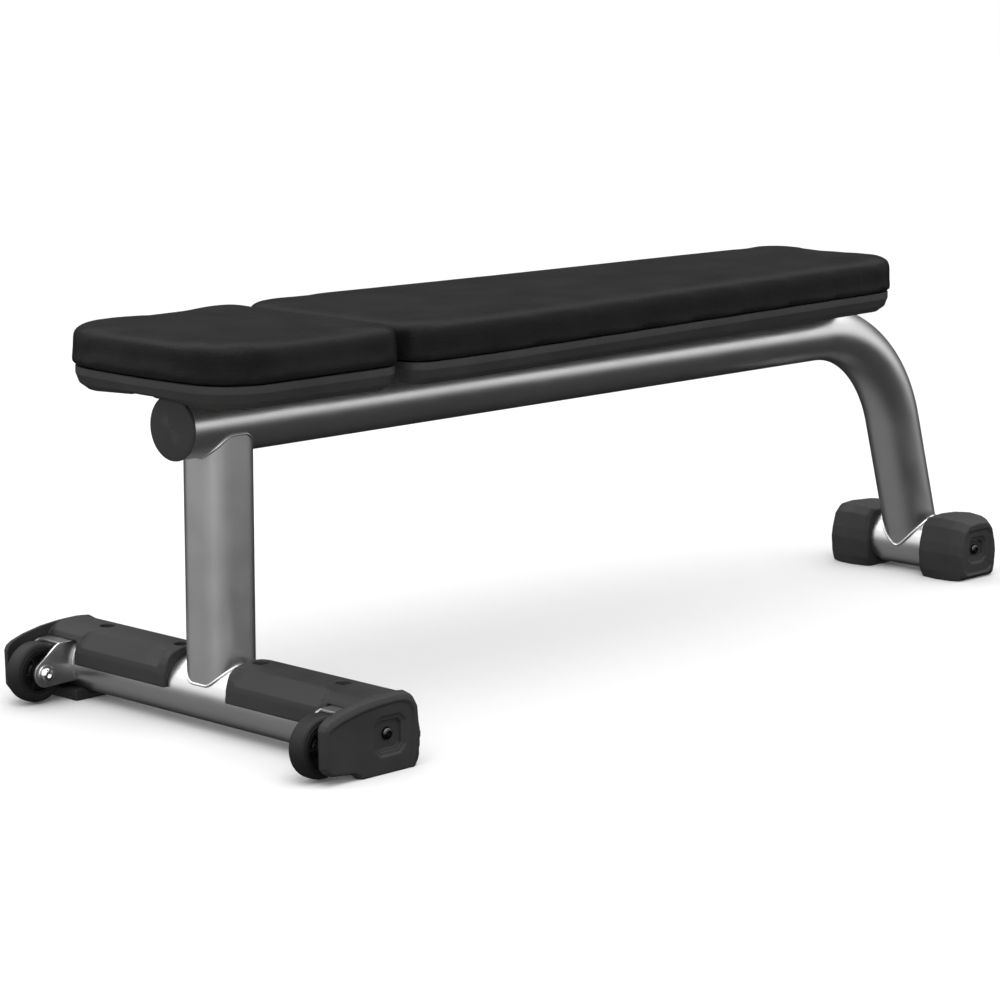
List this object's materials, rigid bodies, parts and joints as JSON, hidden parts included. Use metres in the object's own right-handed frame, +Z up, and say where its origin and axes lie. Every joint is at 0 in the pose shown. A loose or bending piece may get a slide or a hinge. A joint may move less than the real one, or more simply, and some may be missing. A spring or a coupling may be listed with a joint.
{
  "type": "flat weight bench",
  "caption": "Flat weight bench: two black padded cushions on a bent round steel tube, a front post and cross tube with rubber foot guards and transport wheels, and a short rear foot.",
  "frame": {"origin": "on the floor, under the middle of the bench's bounding box", "axes": "+X along the bench from the wheeled front foot to the bent rear leg, +Y to the bench's left, +Z up"},
  "size_m": [1.3824, 0.534, 0.44],
  "materials": {
    "vinyl": "fine pebbled upholstery vinyl, satin",
    "pan_plastic": "moulded, satin",
    "plywood": "plywood, sealed black",
    "frame_paint": "silver metallic powder coat, satin gloss",
    "foot_rubber": "moulded charcoal rubber, fine texture",
    "cap_plastic": "moulded, satin",
    "tyre_rubber": "smooth solid tyre",
    "hub_plastic": "moulded nylon",
    "chrome_steel": "bright plated",
    "black_steel": "black oxide, satin",
    "zinc_steel": "zinc plated"
  },
  "bodies": {
    "frame": {"axle_bolt_left": "chrome_steel", "axle_bolt_right": "chrome_steel", "axle_nut_left": "zinc_steel", "axle_nut_right": "zinc_steel", "axle_washer_left": "zinc_steel", "axle_washer_right": "zinc_steel", "beam_end_cap": "cap_plastic", "foot_guard_left": "foot_rubber", "foot_guard_right": "foot_rubber", "front_cross_tube": "frame_paint", "front_end_bolt_left": "black_steel", "front_end_bolt_right": "black_steel", "front_plug_left": "cap_plastic", "front_plug_right": "cap_plastic", "front_post": "frame_paint", "guard_screw_1_left": "black_steel", "guard_screw_1_right": "black_steel", "guard_screw_2_left": "black_steel", "guard_screw_2_right": "black_steel", "long_pad_board": "plywood", "long_pad_cushion": "vinyl", "long_pad_pan": "pan_plastic", "main_tube": "frame_paint", "pad_bolt_1_left": "zinc_steel", "pad_bolt_1_right": "zinc_steel", "pad_bolt_2_left": "zinc_steel", "pad_bolt_2_right": "zinc_steel", "pad_bolt_3_left": "zinc_steel", "pad_bolt_3_right": "zinc_steel", "pad_bolt_4_left": "zinc_steel", "pad_bolt_4_right": "zinc_steel", "pad_crossbar_1": "frame_paint", "pad_crossbar_2": "frame_paint", "pad_crossbar_3": "frame_paint", "pad_crossbar_4": "frame_paint", "rear_cross_tube": "frame_paint", "rear_end_bolt_left": "black_steel", "rear_end_bolt_right": "black_steel", "rear_foot_left": "foot_rubber", "rear_foot_right": "foot_rubber", "rear_plug_left": "cap_plastic", "rear_plug_right": "cap_plastic", "short_pad_board": "plywood", "short_pad_cushion": "vinyl", "short_pad_pan": "pan_plastic", "wheel_fork_left": "frame_paint", "wheel_fork_right": "frame_paint"},
    "wheel_left": {"wheel_tyre_left": "tyre_rubber", "wheel_hub_left": "hub_plastic"},
    "wheel_right": {"wheel_tyre_right": "tyre_rubber", "wheel_hub_right": "hub_plastic"}
  },
  "joints": [
    {"name": "wheel_left_spin", "type": "hinge", "parent": "frame", "child": "wheel_left", "pos_m": [-0.64777, 0.234, 0.0365], "axis": [0, 1, 0], "continuous": true},
    {"name": "wheel_right_spin", "type": "hinge", "parent": "frame", "child": "wheel_right", "pos_m": [-0.64777, -0.234, 0.0365], "axis": [0, 1, 0], "continuous": true}
  ]
}
